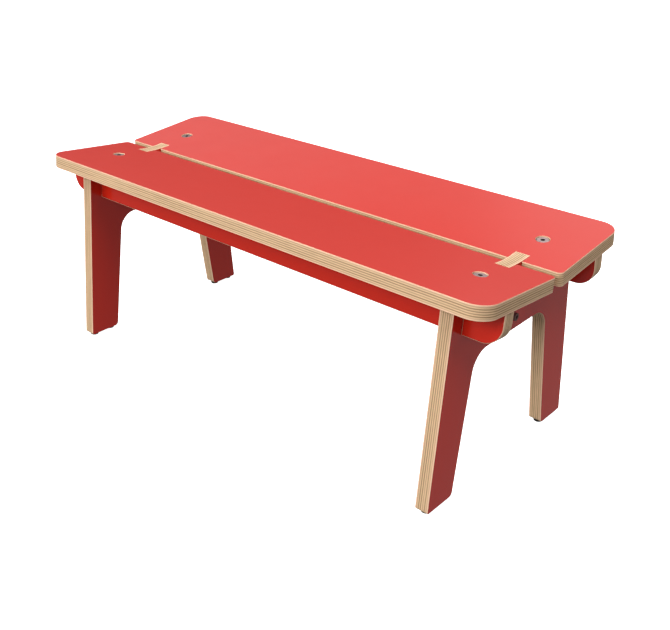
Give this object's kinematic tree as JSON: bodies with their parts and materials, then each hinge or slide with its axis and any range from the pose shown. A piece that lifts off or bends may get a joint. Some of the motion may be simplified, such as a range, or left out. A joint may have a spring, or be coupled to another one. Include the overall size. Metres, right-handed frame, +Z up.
{
  "type": "low plywood bench",
  "caption": "Low knock-down bench with a dished plywood seat on splayed panel legs, half-lapped rails and a bolted stretcher.",
  "frame": {"origin": "on the floor, under the middle of the bench", "axes": "+X along the seat to the right end, +Y across the seat to the rear, +Z up"},
  "size_m": [0.7644, 0.3072, 0.287],
  "materials": {
    "seat_plywood": "red laminate faces, clear-oiled birch edges, semi-gloss",
    "frame_plywood": "red laminate faces, clear-oiled birch edges, semi-gloss",
    "rail_plywood": "red laminate faces, clear-oiled birch edges, semi-gloss",
    "bolt_steel": "zinc plated, satin",
    "nut_steel": "zinc plated, satin",
    "black_steel": "black oxide, satin",
    "glide_rubber": "matte black"
  },
  "bodies": {
    "root": {"seat_board_front": "seat_plywood", "seat_board_rear": "seat_plywood", "end_frame_left": "frame_plywood", "end_frame_right": "frame_plywood", "rail_front": "rail_plywood", "rail_rear": "rail_plywood", "centre_stretcher": "rail_plywood", "seat_bolt_front_left": "bolt_steel", "seat_bolt_front_right": "bolt_steel", "seat_bolt_rear_left": "bolt_steel", "seat_bolt_rear_right": "bolt_steel", "seat_nut_front_left": "nut_steel", "seat_nut_front_right": "nut_steel", "seat_nut_rear_left": "nut_steel", "seat_nut_rear_right": "nut_steel", "stretcher_screw_left": "black_steel", "stretcher_screw_right": "black_steel", "stretcher_nut_left": "nut_steel", "stretcher_nut_right": "nut_steel", "glide_front_left_inner": "glide_rubber", "glide_front_left_outer": "glide_rubber", "glide_front_right_inner": "glide_rubber", "glide_front_right_outer": "glide_rubber", "glide_rear_left_inner": "glide_rubber", "glide_rear_left_outer": "glide_rubber", "glide_rear_right_inner": "glide_rubber", "glide_rear_right_outer": "glide_rubber"}
  },
  "joints": []
}
